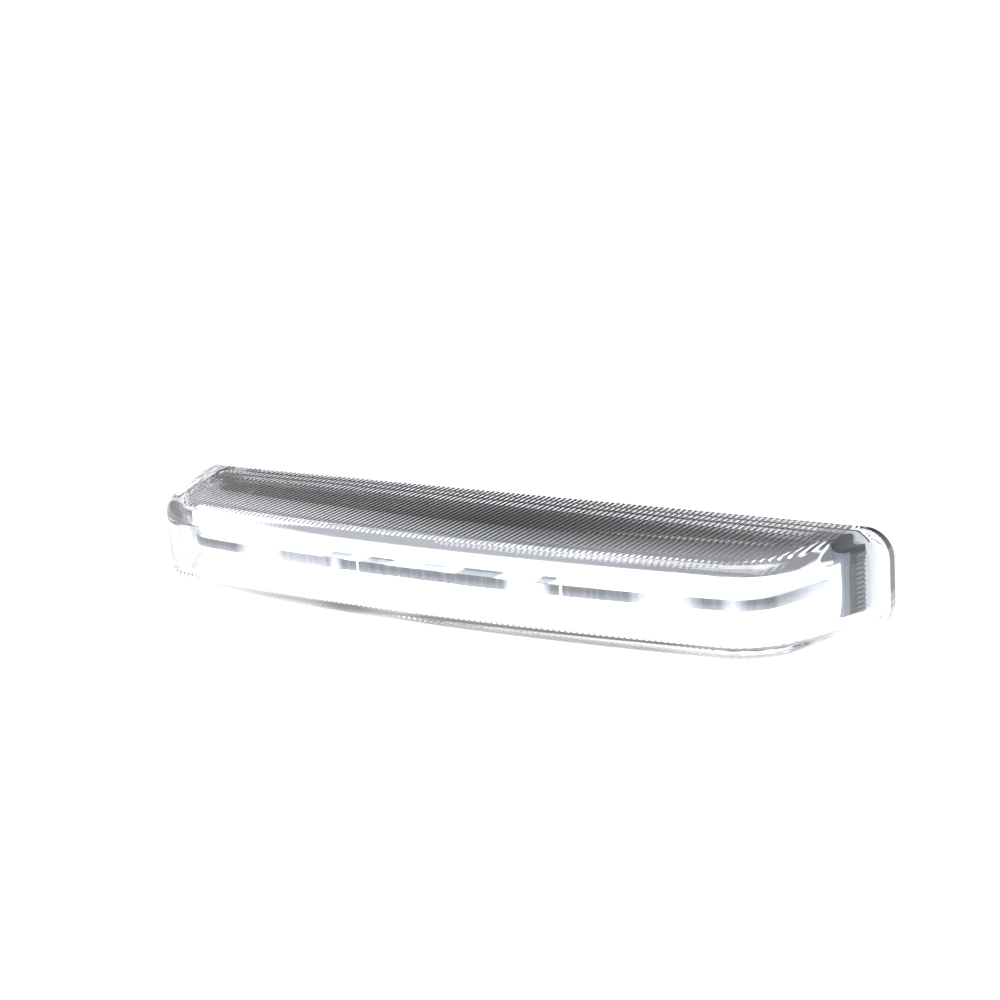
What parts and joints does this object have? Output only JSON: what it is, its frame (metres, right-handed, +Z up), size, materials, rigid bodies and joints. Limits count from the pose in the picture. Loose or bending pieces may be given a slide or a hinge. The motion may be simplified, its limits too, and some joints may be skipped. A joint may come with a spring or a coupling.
{
  "type": "warning light",
  "caption": "Slim surface-mounted LED warning light: long reeded clear lens with a bowed front and a flat back flange, lit by light sources over and under a centre plate.",
  "frame": {"origin": "centre of the flat back face that goes against the vehicle", "axes": "+X along the light, +Y out of the back towards the vehicle, so the lit front faces -Y, +Z up"},
  "size_m": [0.202, 0.0415, 0.0234],
  "materials": {
    "clear_lens": "clear polycarbonate, polished",
    "black_housing": "fine moulded texture",
    "seal_silicone": "translucent silicone",
    "seal_rubber": "matte rubber",
    "plate_metal": "satin",
    "board_white": "white solder mask",
    "light_source": "clear dome over a lit chip",
    "reflector_grey": "metallised, satin",
    "end_block_grey": "fine moulded texture",
    "board_green": "green solder mask",
    "component_dark": "moulded resin",
    "pin_brass": "plated",
    "screw_steel": "zinc plated",
    "insert_brass": "machined",
    "vent_grey": "moulded"
  },
  "bodies": {
    "root": {"outer_lens": "clear_lens", "rear_base": "black_housing", "perimeter_seal": "seal_silicone", "heat_sink": "plate_metal", "upper_board": "board_white", "lower_board": "board_white", "led_upper_1": "light_source", "led_upper_2": "light_source", "led_upper_3": "light_source", "led_upper_4": "light_source", "led_lower_1": "light_source", "led_lower_2": "light_source", "led_lower_3": "light_source", "led_lower_4": "light_source", "upper_reflector": "reflector_grey", "lower_reflector": "reflector_grey", "end_block_left": "end_block_grey", "end_block_right": "end_block_grey", "driver_board": "board_green", "capacitor": "component_dark", "inductor": "component_dark", "driver_chip": "component_dark", "input_diode": "component_dark", "link_pins": "pin_brass", "board_screws": "screw_steel", "mounting_inserts": "insert_brass", "cable_grommet": "seal_rubber", "breather_vent": "vent_grey"}
  },
  "joints": []
}
